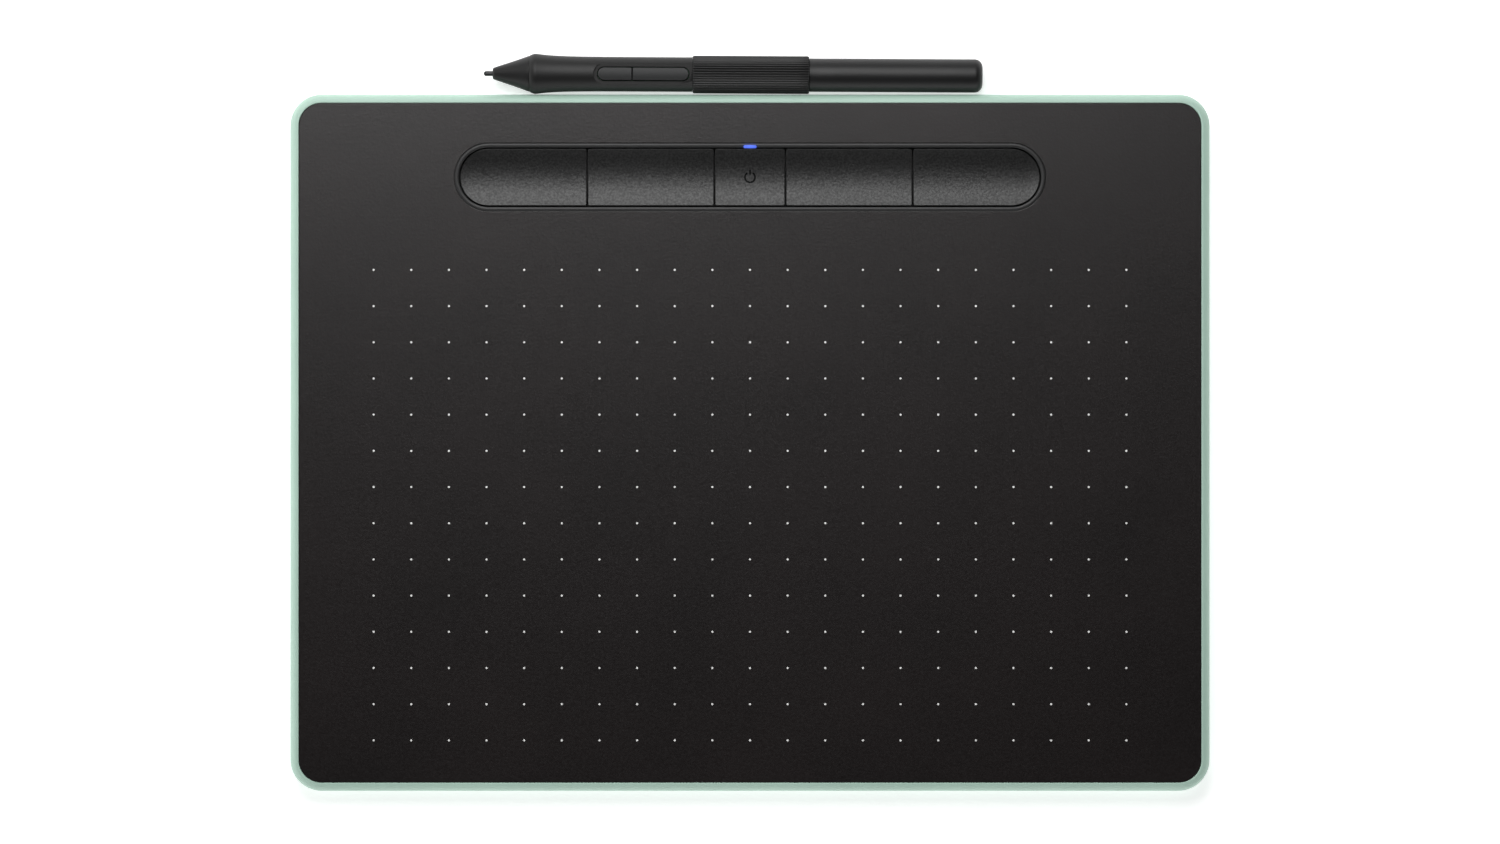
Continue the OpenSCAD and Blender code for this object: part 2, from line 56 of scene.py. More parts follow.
mm = 0.001
case_low, case_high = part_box("bottom_case")
sheet_low, sheet_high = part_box("surface_sheet")
usb_low, usb_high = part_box("usb_socket")
case_half_w = (case_high.x - case_low.x) / 2
case_half_d = (case_high.y - case_low.y) / 2
case_y = (case_high.y + case_low.y) / 2
corner_r = 9 * mm
sheet_gap = 0.15 * mm            # between the sheet's edge and the rim
rim_w = case_high.x - sheet_high.x - sheet_gap
widest_z = 5.6 * mm
underside_inset = 6 * mm
rim_land = 0.35 * mm
rim_edge_r = 0.18 * mm
inner_floor_z = case_low.z + 1.5 * mm
wall_foot_w, wall_foot_h = 1.25 * mm, 1.3 * mm
foot_pocket_r = 5.1 * mm
foot_pocket_top = case_low.z + 0.6 * mm
foot_x, foot_y = 118.5 * mm, 86 * mm
foot_places = [(sx * foot_x, case_y + sy * foot_y) for sx in (-1, 1) for sy in (-1, 1)]
usb_half_w, usb_half_h, usb_corner_r = 4.15 * mm, 1.65 * mm, 0.8 * mm


def hex_linear(code):
    """An sRGB hex colour as the linear colour that shaders use."""
    parts = [int(code[i:i + 2], 16) / 255 for i in (1, 3, 5)]
    return [((c + 0.055) / 1.055) ** 2.4 if c > 0.04045 else c / 12.92 for c in parts] + [1.0]


def add_node(finish, kind, settings=(), links=()):
    """Adds a node: settings are properties (lower case) or sockets, links feed sockets from outputs."""
    made = finish.node_tree.nodes.new(kind)
    for name, value in dict(settings).items():
        if isinstance(name, str) and name.islower():
            setattr(made, name, value)
        else:
            made.inputs[name].default_value = value
    for name, source in dict(links).items():
        finish.node_tree.links.new(source, made.inputs[name])
    return made


def new_finish(name, colour, roughness, ior=1.5, metallic=0.0):
    """A material, its shader, and the piece's own coordinates in metres for its patterns."""
    finish = bpy.data.materials.new(name)
    finish.use_nodes = True
    shader = finish.node_tree.nodes["Principled BSDF"]
    shader.inputs["Base Color"].default_value = hex_linear(colour)
    shader.inputs["Roughness"].default_value = roughness
    shader.inputs["IOR"].default_value = ior
    shader.inputs["Metallic"].default_value = metallic
    return finish, shader, add_node(finish, "ShaderNodeTexCoord").outputs["Object"]


def eroded_grain(finish, shader, place, grain, depth, dark, light, roughness=None):
    """Grain of a spark-eroded mould: a fine bump, with the colour drifting between two near hues."""
    grit = add_node(finish, "ShaderNodeTexNoise", {"Scale": 1 / grain, "Detail": 3.0, "Roughness": 0.6},
                    {"Vector": place})
    bump = add_node(finish, "ShaderNodeBump", {"Strength": 1.0, "Distance": depth},
                    {"Height": grit.outputs["Fac"]})
    drift = add_node(finish, "ShaderNodeTexNoise", {"Scale": 1 / (30 * mm), "Detail": 1.0},
                     {"Vector": place})
    both = add_node(finish, "ShaderNodeMath", {"operation": "MULTIPLY_ADD", 1: 0.55},
                    {0: grit.outputs["Fac"], 2: drift.outputs["Fac"]})
    tone = add_node(finish, "ShaderNodeValToRGB", {}, {"Fac": both.outputs["Value"]})
    tone.color_ramp.elements[0].position = 0.5
    tone.color_ramp.elements[0].color = hex_linear(dark)
    tone.color_ramp.elements[1].position = 1.05
    tone.color_ramp.elements[1].color = hex_linear(light)
    finish.node_tree.links.new(tone.outputs["Color"], shader.inputs["Base Color"])
    finish.node_tree.links.new(bump.outputs["Normal"], shader.inputs["Normal"])
    if roughness:
        sheen = add_node(finish, "ShaderNodeMapRange", {"To Min": roughness[0], "To Max": roughness[1]},
                         {"Value": grit.outputs["Fac"]})
        finish.node_tree.links.new(sheen.outputs["Result"], shader.inputs["Roughness"])


def outline(half_w, half_d, r, steps=20):
    """Rectangle with round corners about the origin, as points anticlockwise."""
    corners = ((1, 1, 0), (-1, 1, 1), (-1, -1, 2), (1, -1, 3))
    return [(sx * (half_w - r) + r * math.cos(math.radians(90 * (turn + i / steps))),
             sy * (half_d - r) + r * math.sin(math.radians(90 * (turn + i / steps))))
            for sx, sy, turn in corners for i in range(steps + 1)]


def loft(rings, joined=False):
    """Skin through rings of points, capped at both ends, or joined last to first."""
    shape = bmesh.new()
    rows = [[shape.verts.new(p) for p in ring] for ring in rings]
    count = len(rows[0])
    for low, high in list(zip(rows, rows[1:])) + ([(rows[-1], rows[0])] if joined else []):
        for i in range(count):
            j = (i + 1) % count
            shape.faces.new((low[i], low[j], high[j], high[i]))
    if not joined:
        shape.faces.new(rows[0][::-1])
        shape.faces.new(rows[-1])
    return shape


def finished_mesh(name, shape, crease=32):
    """Mesh with doubled points merged and smooth shading, but sharp where faces turn by the crease."""
    bmesh.ops.remove_doubles(shape, verts=shape.verts, dist=1e-7)
    bmesh.ops.recalc_face_normals(shape, faces=shape.faces)
    data = bpy.data.meshes.new(name)
    shape.to_mesh(data)
    shape.free()
    data.shade_smooth()
    data.set_sharp_from_angle(angle=math.radians(crease))
    return data


def carved(name, data, tools, crease=32):
    """The mesh with each tool's mesh cut out of it."""
    blank = bpy.data.objects.new(name, data)
    bpy.context.scene.collection.objects.link(blank)
    cutters = []
    for i, tool in enumerate(tools):
        cutter = bpy.data.objects.new(f"{name}_cutter_{i}", tool)
        bpy.context.scene.collection.objects.link(cutter)
        cutters.append(cutter)
        cut = blank.modifiers.new(f"cut_{i}", "BOOLEAN")
        cut.operation = "DIFFERENCE"
        cut.solver = "EXACT"
        cut.object = cutter
    done = bpy.data.meshes.new_from_object(blank.evaluated_get(bpy.context.evaluated_depsgraph_get()))
    for scrap in [blank] + cutters:
        bpy.data.objects.remove(scrap)
    done.name = name
    done.materials.clear()
    done.shade_smooth()
    done.set_sharp_from_angle(angle=math.radians(crease))
    return done


def fit_piece(name, data, finish, body, slot, *stands_for):
    """Puts a finished mesh in the scene, on its CAD body, in place of the CAD nodes named."""
    piece = bpy.data.objects.new(name, data)
    bpy.context.scene.collection.objects.link(piece)
    if finish:
        data.materials.append(finish)
    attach(piece, body)
    if stands_for:
        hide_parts(*stands_for)
    return piece


def case_ring(inset, z):
    """The case's outline at a height, set in from its widest line."""
    r = max(corner_r - inset, 0.5 * mm)
    return [(x, y + case_y, z) for x, y in outline(case_half_w - inset, case_half_d - inset, r)]


# Inner floor, inner wall, rounded inner lip, crest, outer bulge and underside, in that order
case_section = [(rim_w + 3 * mm, inner_floor_z), (rim_w + wall_foot_w, inner_floor_z),
                (rim_w, inner_floor_z + wall_foot_h)]
case_section += [(rim_w - rim_edge_r * (1 - math.cos(math.radians(a))),
                  case_high.z - rim_edge_r * (1 - math.sin(math.radians(a)))) for a in range(0, 91, 18)]
case_section += [((rim_w - rim_land) * (1 - math.sin(math.radians(a))),
                  widest_z + (case_high.z - widest_z) * math.cos(math.radians(a))) for a in range(0, 90, 6)]
case_section += [(underside_inset * (1 - math.cos(math.radians(a))),
                  widest_z - (widest_z - case_low.z) * math.sin(math.radians(a))) for a in range(0, 91, 5)]
case_section += [(underside_inset + 0.6 * mm, case_low.z)]


def prism(points, z0, z1):
    """Straight solid over a flat outline."""
    return loft([[(x, y, z0) for x, y in points], [(x, y, z1) for x, y in points]])


usb_mid = (usb_low + usb_high) / 2
usb_opening = [(x + usb_mid.x, z + usb_mid.z) for x, z in outline(usb_half_w, usb_half_h, usb_corner_r, 6)]
usb_cutter = loft([[(x, case_high.y + past, z) for x, z in usb_opening] for past in (-8 * mm, 2 * mm)])
pocket = outline(foot_pocket_r, foot_pocket_r, foot_pocket_r, 16)
pocket_cutters = [prism([(x + px, y + py) for x, y in pocket], case_low.z - 1 * mm, foot_pocket_top)
                  for px, py in foot_places]

# Glossy-to-satin ABS: the pigment is mixed in, so the colour is even, and only the eroded grain
# of the mould breaks the sheen. Real grain is about 0.1 mm; 0.3 mm is the finest that shows.
mint_abs, shader, place = new_finish("mint_abs", "#B2D0C1", 0.5, 1.53)
eroded_grain(mint_abs, shader, place, 0.3 * mm, 0.004 * mm, "#B0CEBF", "#B6D4C5")

case_blank = finished_mesh("bottom_case_blank", loft([case_ring(*p) for p in case_section]))
case_mesh = carved("bottom_case_moulding", case_blank,
                   [finished_mesh("cutter", s) for s in [usb_cutter] + pocket_cutters])
fit_piece("bottom_case_moulding", case_mesh, mint_abs, "tablet", "shell", "bottom_case")


# ---- Rubber feet ----
# Four grey silicone-rubber discs, moulded with a rounded tread and glued into their pockets, where
# they hide the case screws.

foot_r = 5 * mm
tread_r = 0.45 * mm
foot_top_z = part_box("rubber_feet")[1].z


def turned(profile, place, steps=64, joined=False):
    """Turned shape: the profile is (distance along the axis, radius), the axis the place's own X."""
    angles = [2 * math.pi * i / steps for i in range(steps)]
    return loft([[place @ Vector((x, r * math.cos(a), r * math.sin(a))) for a in angles]
                 for x, r in profile], joined)


# Silicone rubber: matt, with a faint dusty bloom from the eroded mould
foot_rubber, shader, place = new_finish("silicone_rubber", "#3B3C3E", 0.75, 1.41)
eroded_grain(foot_rubber, shader, place, 0.4 * mm, 0.01 * mm, "#353638", "#424345")

feet = bmesh.new()
for px, py in foot_places:
    stand = Matrix.Translation((px, py, 0)) @ Matrix.Rotation(math.radians(-90), 4, "Y")
    profile = [(0, 3.2 * mm), (0, foot_r - 0.6 * mm)]
    profile += [(tread_r * (1 - math.cos(math.radians(a))),
                 foot_r - tread_r * (1 - math.sin(math.radians(a)))) for a in range(0, 91, 15)]
    profile += [(foot_top_z, foot_r), (foot_top_z, 3 * mm)]
    part = bpy.data.meshes.new("foot")
    turned(profile, stand, 72).to_mesh(part)
    feet.from_mesh(part)
    bpy.data.meshes.remove(part)
fit_piece("feet_moulded", finished_mesh("feet_moulded", feet), foot_rubber, "tablet", "foot_rubber",
          "rubber_feet")


# ---- Top case, boards and battery ----
# Everything between the two skins. The CAD solids are the right shapes, so they stay and only get
# their real finishes: black ABS, solder-masked laminate, tinned sheet steel, nylon and foil.

def dress(finish, *names):
    """Gives CAD nodes a finish."""
    for name in names:
        for slot in frame["nodes"][name].material_slots:
            slot.material = finish


# Black ABS, glass-filled where it carries screws: even, with a matt mould grain
black_abs, shader, place = new_finish("black_abs", "#1D1D1F", 0.5, 1.53)
eroded_grain(black_abs, shader, place, 0.3 * mm, 0.006 * mm, "#19191B", "#212123")
dress(black_abs, "top_case")

# Solder mask over etched copper: the tracks show as raised, slightly lighter lines
for finish_name, base, track, names in (
        # The main board's mask is black as painted shade: its colour stands in for the shade deep in the gaps
        # between the keys above it
        ("gap_shade_black_solder_mask", "#060706", "#0D0F0E", ("main_board",)),
        ("green_solder_mask", "#1B5E33", "#2C7A48", ("pen_circuit_board",)),
        ("blue_solder_mask", "#1A4F78", "#2A6894", ("sensor_board", "radio_module"))):
    mask, shader, place = new_finish(finish_name, base, 0.3, 1.55)
    tracks = add_node(mask, "ShaderNodeTexBrick",
                      {"Color1": hex_linear(base), "Color2": hex_linear(base), "Mortar": hex_linear(track),
                       "Scale": 1.0, "Mortar Size": 0.12 * mm, "Brick Width": 6 * mm,
                       "Row Height": 1.27 * mm}, {"Vector": place})
    relief = add_node(mask, "ShaderNodeBump", {"Strength": 1.0, "Distance": 0.03 * mm},
                      {"Height": tracks.outputs["Fac"]})
    mask.node_tree.links.new(tracks.outputs["Color"], shader.inputs["Base Color"])
    mask.node_tree.links.new(relief.outputs["Normal"], shader.inputs["Normal"])
    dress(mask, *names)

# Tinned and zinc-plated steel: fine rolling lines along the sheet
tinned_steel, shader, place = new_finish("tinned_steel", "#BFC1C3", 0.32, metallic=1.0)
stretch = add_node(tinned_steel, "ShaderNodeMapping", {"Scale": (120, 2500, 2500)}, {"Vector": place})
rolling = add_node(tinned_steel, "ShaderNodeTexNoise", {"Scale": 1.0, "Detail": 3.0},
                   {"Vector": stretch.outputs["Vector"]})
lines = add_node(tinned_steel, "ShaderNodeBump", {"Strength": 1.0, "Distance": 0.004 * mm},
                 {"Height": rolling.outputs["Fac"]})
gloss = add_node(tinned_steel, "ShaderNodeMapRange", {"To Min": 0.24, "To Max": 0.42},
                 {"Value": rolling.outputs["Fac"]})
tinned_steel.node_tree.links.new(lines.outputs["Normal"], shader.inputs["Normal"])
tinned_steel.node_tree.links.new(gloss.outputs["Result"], shader.inputs["Roughness"])
dress(tinned_steel, "shield_plate", "usb_socket", "case_screws", "board_screws",
      "pen_pressure_sensor", "pen_dome_switches")

# The small mouldings and parts on the boards, each with its own faint mould or sinter grain
for finish_name, dark, light, rough, grain, names in (
        ("black_nylon", "#0B0B0C", "#111112", 0.6, 0.3,
         ("tact_switches", "usb_tongue", "ribbon_connector", "battery_connector")),
        ("natural_acetal", "#D9D5C8", "#E6E2D6", 0.35, 0.5,
         ("key_plunger_1", "key_plunger_2", "key_plunger_3", "key_plunger_4", "key_plunger_5",
          "pen_nib_holder", "spare_nib_rack")),
        ("natural_nylon", "#E0DBCC", "#ECE8DB", 0.45, 0.4, ("status_led",)),
        ("epoxy_package", "#151516", "#1F1F21", 0.6, 0.15, ("controller_chip", "pen_board_chips")),
        ("black_insulating_film", "#040404", "#080808", 0.6, 0.6, ("shield_can",)),
        ("tantalum_and_ceramic", "#2B2219", "#3B3023", 0.5, 0.8, ("board_components",)),
        ("foam_tape", "#D5D0BF", "#E3DFD0", 0.8, 0.5, ("sheet_adhesive", "battery_pad")),
        ("polyimide_film", "#B9761D", "#CF8F35", 0.3, 1.0, ("sensor_ribbon",)),
        ("silicone_wire", "#A01F19", "#B92C24", 0.4, 0.5, ("battery_lead",)),
        ("sintered_ferrite", "#3E3E41", "#505054", 0.55, 0.25, ("pen_ferrite_core",))):
    part_finish, shader, place = new_finish(finish_name, light, rough)
    eroded_grain(part_finish, shader, place, grain * mm, 0.008 * mm, dark, light)
    dress(part_finish, *names)

# Laminate pouch of the battery: soft embossed aluminium foil
foil, shader, place = new_finish("laminate_foil", "#A9ADB1", 0.38, metallic=1.0)
wrinkles = add_node(foil, "ShaderNodeTexVoronoi", {"feature": "SMOOTH_F1", "Scale": 1 / (2.5 * mm)},
                    {"Vector": place})
dents = add_node(foil, "ShaderNodeBump", {"Strength": 1.0, "Distance": 0.05 * mm},
                 {"Height": wrinkles.outputs["Distance"]})
foil.node_tree.links.new(dents.outputs["Normal"], shader.inputs["Normal"])
dress(foil, "battery")

# Enamelled copper: turns of 0.1 mm wire, drawn at 0.3 mm so that they show
copper, shader, place = new_finish("enamelled_copper", "#B4622B", 0.3, metallic=1.0)
turns = add_node(copper, "ShaderNodeTexWave", {"bands_direction": "X", "Scale": 1 / (2 * 0.3 * mm) / 10},
                 {"Vector": place})
ridges = add_node(copper, "ShaderNodeBump", {"Strength": 1.0, "Distance": 0.05 * mm},
                  {"Height": turns.outputs["Fac"]})
copper.node_tree.links.new(ridges.outputs["Normal"], shader.inputs["Normal"])
dress(copper, "pen_coil")


# ---- Drawing surface ----
# A 0.5 mm polyester sheet, hard-coated with a fine paper-like tooth and die-cut with one opening
# for the keys. It is glued down just below the rim, so a dark line of shadow runs round it.

bezel_low, bezel_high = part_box("key_bezel")
row_y = (bezel_low.y + bezel_high.y) / 2
ring_half_l = bezel_high.x
ring_half_d = (bezel_high.y - bezel_low.y) / 2
sheet_half_w = sheet_high.x
sheet_half_d = (sheet_high.y - sheet_low.y) / 2
sheet_corner_r = corner_r - rim_w - sheet_gap
sheet_edge = 0.1 * mm
opening_gap = 0.1 * mm


def inside(point, loop):
    """Whether a flat point lies inside a loop."""
    crossings = 0
    for (x0, y0), (x1, y1) in zip(loop, loop[1:] + loop[:1]):
        if (y0 > point[1]) != (y1 > point[1]) and point[0] < x0 + (point[1] - y0) / (y1 - y0) * (x1 - x0):
            crossings += 1
    return crossings % 2 == 1


def fill_flat(loops, extra=(), cut_out=True):
    """Points and triangles inside the first loop. The other loops are holes, or with cut_out off just
    lines that the triangles follow."""
    points = [Vector(p) for loop in loops for p in loop] + [Vector(p) for p in extra]
    edges, start = [], 0
    for loop in loops:
        edges += [(start + i, start + (i + 1) % len(loop)) for i in range(len(loop))]
        start += len(loop)
    points, _, faces = delaunay_2d_cdt([p * 1000 for p in points], edges, [], 0, 1e-6)[:3]
    points = [p / 1000 for p in points]
    kept = []
    for face in faces:
        middle = sum((points[i] for i in face), Vector((0, 0))) / len(face)
        if inside(middle, loops[0]) and not (cut_out and any(inside(middle, hole) for hole in loops[1:])):
            kept.append(face)
    return points, kept


def unique(loop):
    """A loop without points that repeat their neighbour."""
    return [p for p, q in zip(loop, loop[-1:] + loop[:-1]) if math.dist(p, q) > 1e-7]


def sheet_loops(inset):
    """The sheet's outer edge and the edge of its opening, both set in by the inset."""
    outer = outline(sheet_half_w - inset, sheet_half_d - inset, sheet_corner_r - inset)
    half = ring_half_d + opening_gap + inset
    opening = outline(ring_half_l + opening_gap + inset, half, half, 32)
    return unique([(x, y + case_y) for x, y in outer]), unique([(x, y + row_y) for x, y in opening])


sheet = bmesh.new()
levels = [(0, sheet_low.z), (0, sheet_high.z - sheet_edge),
          (sheet_edge * 0.3, sheet_high.z - sheet_edge * 0.3), (sheet_edge, sheet_high.z)]
for side in (0, 1):
    rows = [[sheet.verts.new((x, y, z)) for x, y in sheet_loops(inset)[side]] for inset, z in levels]
    for low, high in zip(rows, rows[1:]):
        for i in range(len(low)):
            j = (i + 1) % len(low)
            sheet.faces.new((low[i], low[j], high[j], high[i]))
for inset, z in (levels[0], levels[-1]):
    points, faces = fill_flat(sheet_loops(inset))
    corners = [sheet.verts.new((p.x, p.y, z)) for p in points]
    for face in faces:
        sheet.faces.new([corners[i] for i in face])

# Hard-coated polyester: near black with a trace of warmth. The tooth is a random grain of about
# 0.1 mm, drawn at 0.7 mm, and its hollows are duller than its peaks.
toothed_film, shader, place = new_finish("toothed_polyester_film", "#0C0808", 0.32, 1.65)
eroded_grain(toothed_film, shader, place, 0.7 * mm, 0.024 * mm, "#0A0404", "#130C0C", (0.25, 0.39))
fit_piece("drawing_sheet", finished_mesh("drawing_sheet", sheet, 15), toothed_film, "tablet",
          "drawing_surface", "surface_sheet")


# ---- Active-area dots ----
# Screen-printed pale grey ink: 21 by 14 small round dots that fill the active area evenly. A fine
# film of ink stands a hundredth of a millimetre on the sheet.

sensor_low, sensor_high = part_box("sensor_board")
sensor_margin = 6 * mm           # of the sensor board, round the area that it can sense
active_half_w = sensor_high.x - sensor_margin
active_half_d = (sensor_high.y - sensor_low.y) / 2 - sensor_margin
active_y = (sensor_high.y + sensor_low.y) / 2
dot_r = 0.31 * mm
ink_t = 0.012 * mm
dot_columns, dot_rows, dot_sides = 21, 14, 16
dot_section = ((dot_r, sheet_high.z - ink_t), (dot_r, sheet_high.z + ink_t * 0.5),
               (dot_r * 0.85, sheet_high.z + ink_t))
dot_angles = [2 * math.pi * k / dot_sides for k in range(dot_sides)]

dots = bmesh.new()
for i in range(dot_columns):
    for j in range(dot_rows):
        cx = active_half_w * (2 * i / (dot_columns - 1) - 1)
        cy = active_y + active_half_d * (2 * j / (dot_rows - 1) - 1)
        rings = [[dots.verts.new((cx + r * math.cos(a), cy + r * math.sin(a), z)) for a in dot_angles]
                 for r, z in dot_section]
        for low, high in zip(rings, rings[1:]):
            for k in range(dot_sides):
                dots.faces.new((low[k], low[(k + 1) % dot_sides], high[(k + 1) % dot_sides], high[k]))
        dots.faces.new(rings[0][::-1])
        dots.faces.new(rings[-1])

# Matt screen ink: slightly uneven, because the tooth of the film shows through it
screen_ink, shader, place = new_finish("grey_screen_ink", "#EFEFED", 0.6)
eroded_grain(screen_ink, shader, place, 0.2 * mm, 0.003 * mm, "#E6E6E4", "#F4F4F2")
fit_piece("active_area_dots", finished_mesh("active_area_dots", dots), screen_ink, "tablet",
          "drawing_surface")


# ---- Trim ring ----
# A black PC/ABS ring with a low rounded bead, dropped into the sheet's opening from above. A notch
# in its rear inner edge holds the light guide.

lens_low, lens_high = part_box("led_lens")
lens_mid = (lens_low + lens_high) / 2
ring_gap = 0.4 * mm
ring_skirt = 0.35 * mm
bead_w = 1.2 * mm
bead_shoulder = 0.3 * mm
notch_gap = 0.05 * mm
row_half_l = ring_half_l - bead_w - ring_gap
row_half_d = ring_half_d - bead_w - ring_gap


def row_ring(reach, z, steps=32):
    """Outline of the key row, let out by reach, at a height."""
    half = row_half_d + reach
    return [(x, y + row_y, z) for x, y in outline(row_half_l + reach, half, half, steps)]


shoulder_z = bezel_high.z - bead_shoulder
ring_section = [(ring_gap, bezel_low.z)]
ring_section += [(ring_gap + bead_w / 2 * (1 - math.cos(math.radians(a))),
                  shoulder_z + bead_shoulder * math.sin(math.radians(a))) for a in range(0, 181, 12)]
ring_section += [(ring_gap + bead_w, sheet_low.z), (ring_gap + ring_skirt, sheet_low.z),
                 (ring_gap + ring_skirt, bezel_low.z)]

notch_x0, notch_x1 = lens_low.x - notch_gap, lens_high.x + notch_gap
notch_y0, notch_y1 = lens_low.y - 0.4 * mm, lens_high.y + notch_gap
notch = prism([(notch_x0, notch_y0), (notch_x1, notch_y0), (notch_x1, notch_y1), (notch_x0, notch_y1)],
              bezel_low.z - 1 * mm, bezel_high.z + 1 * mm)

# PC/ABS with a finer mould grain than the keys, so it is a shade glossier
satin_black, shader, place = new_finish("satin_pc_abs", "#181819", 0.5, 1.57)
eroded_grain(satin_black, shader, place, 0.25 * mm, 0.003 * mm, "#121213", "#181819")
# Painted glow: a faint blue emission painted on the bead beside the guide, standing in for the light that
# leaks from it
around = add_node(satin_black, "ShaderNodeMapping",
                  {"vector_type": "POINT", "Location": (0, -lens_mid.y, -lens_high.z), "Scale": (0.5, 1, 1)},
                  {"Vector": place})
away = add_node(satin_black, "ShaderNodeVectorMath", {"operation": "LENGTH"}, {0: around.outputs["Vector"]})
painted_led_glow = add_node(satin_black, "ShaderNodeMapRange",
                 {"interpolation_type": "SMOOTHSTEP", "From Min": 0.3 * mm, "From Max": 1.5 * mm,
                  "To Min": 0.3, "To Max": 0.0}, {"Value": away.outputs["Value"]})
shader.inputs["Emission Color"].default_value = hex_linear("#2846B4")
satin_black.node_tree.links.new(painted_led_glow.outputs["Result"], shader.inputs["Emission Strength"])
ring_blank = finished_mesh("ring_blank", loft([row_ring(*p) for p in ring_section], joined=True))
ring_mesh = carved("trim_ring", ring_blank, [finished_mesh("cutter", notch)])
fit_piece("trim_ring", ring_mesh, satin_black, "tablet", "trim_ring", "key_bezel")


# ---- Light guide ----
# A clear acrylic bar that carries the blue light of the status LED up to the ring. Its top is
# rounded and frosted, and it glows evenly.

def pad(loop_at, height, edge_r, bottom, pitch, marks=(), mark_depth=0.0):
    """Closed solid with a rounded top edge. loop_at(inset) is its outline and height(x, y) its top;
    marks are loops sunk into the top, and they get the second material."""
    first = loop_at(0)
    count = len(first)
    cuts = [max(1, round(math.dist(first[i], first[(i + 1) % count]) / pitch)) for i in range(count)]

    def divided(inset):
        """The outline with its long edges cut up, so that its edge follows the height of the top."""
        loop = loop_at(inset)
        ends = [(loop[i], loop[(i + 1) % count], k / cuts[i]) for i in range(count) for k in range(cuts[i])]
        return [(a[0] + (b[0] - a[0]) * t, a[1] + (b[1] - a[1]) * t) for a, b, t in ends]

    top_inset = edge_r + 0.05 * mm
    turns = [math.radians(a) for a in range(0, 91, 15)]
    levels = [(edge_r * (1 - math.cos(a)), edge_r * (1 - math.sin(a))) for a in turns]
    shape = bmesh.new()
    rows = [[shape.verts.new((x, y, bottom)) for x, y in divided(0)]]
    for inset, drop in levels + [(top_inset, 0)]:
        rows.append([shape.verts.new((x, y, height(x, y) - drop)) for x, y in divided(inset)])
    count = len(rows[0])
    for low, high in zip(rows, rows[1:]):
        for i in range(count):
            j = (i + 1) % count
            shape.faces.new((low[i], low[j], high[j], high[i]))
    shape.faces.new(rows[0][::-1])
    rim = [(v.co.x, v.co.y) for v in rows[-1]]
    xs, ys = [p[0] for p in rim], [p[1] for p in rim]
    inner = loop_at(top_inset + pitch * 0.5)
    grid = [(min(xs) + pitch * (i + 0.5), min(ys) + pitch * (j + 0.5))
            for i in range(int((max(xs) - min(xs)) / pitch))
            for j in range(int((max(ys) - min(ys)) / pitch))]
    grid = [p for p in grid if inside(p, inner)]
    grid = [p for p in grid if not any(math.dist(p, q) < pitch * 0.35 for mark in marks for q in mark)]
    points, faces = fill_flat([rim] + list(marks), grid, cut_out=False)
    corners = [shape.verts.new((p.x, p.y, height(p.x, p.y))) for p in points]
    sunk = []
    for face in faces:
        made = shape.faces.new([corners[i] for i in face])
        middle = made.calc_center_median()
        if any(inside((middle.x, middle.y), mark) for mark in marks):
            sunk.append(made)
    if sunk:
        moved = bmesh.ops.extrude_face_region(shape, geom=sunk)["geom"]
        bmesh.ops.delete(shape, geom=sunk, context="FACES_ONLY")
        for part in moved:
            if isinstance(part, bmesh.types.BMVert):
                part.co.z -= mark_depth
            if isinstance(part, bmesh.types.BMFace):
                part.material_index = 1
    return shape


lens_half_w = (lens_high.x - lens_low.x) / 2
lens_half_d = (lens_high.y - lens_low.y) / 2


def lens_loop(inset):
    """Outline of the light guide, set in by the inset."""
    return [(x + lens_mid.x, y + lens_mid.y)
            for x, y in outline(lens_half_w - inset, lens_half_d - inset, lens_half_d * 0.98 - inset, 8)]


# Frosted acrylic: the glow is a little stronger in the middle, over the LED
lit_acrylic, shader, place = new_finish("lit_frosted_acrylic", "#30499A", 0.35, 1.49)
split = add_node(lit_acrylic, "ShaderNodeSeparateXYZ", {}, {"Vector": place})
away = add_node(lit_acrylic, "ShaderNodeMath", {"operation": "ABSOLUTE"}, {0: split.outputs["X"]})
glow = add_node(lit_acrylic, "ShaderNodeMapRange", {"From Max": lens_half_w, "To Min": 1.1, "To Max": 0.7},
                {"Value": away.outputs["Value"]})
shader.inputs["Emission Color"].default_value = hex_linear("#506CE8")
lit_acrylic.node_tree.links.new(glow.outputs["Result"], shader.inputs["Emission Strength"])
lens_shape = pad(lens_loop, lambda x, y: lens_high.z, 0.2 * mm, lens_low.z, 0.3 * mm)
lens_mesh = finished_mesh("light_guide", lens_shape)
fit_piece("light_guide", lens_mesh, lit_acrylic, "tablet", "light_guide", "led_lens")


# ---- Keys ----
# Five black ABS keys in one row. A shallow trough runs along them and closes in a spoon shape at
# both ends, so that the pen can rest there. Each key has a fine rounded edge and its own body.

dish_depth = 1.6 * mm
key_edge_r = 0.14 * mm
key_trim = 0.04 * mm             # taken off all round, so that the gaps read as dark lines
key_corner_r = 0.5 * mm
key_top_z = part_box("express_key_1")[1].z
dish_r = (row_half_d ** 2 + dish_depth ** 2) / (2 * dish_depth)
dish_axis_z = key_top_z - dish_depth + dish_r
trough_half_l = row_half_l - row_half_d + 4.5 * mm      # where the trough starts to close


def dish(x, y):
    """Height of the dished top."""
    past = max(abs(x) - trough_half_l, 0)
    return dish_axis_z - math.sqrt(max(dish_r ** 2 - past ** 2 - (y - row_y) ** 2, 0))


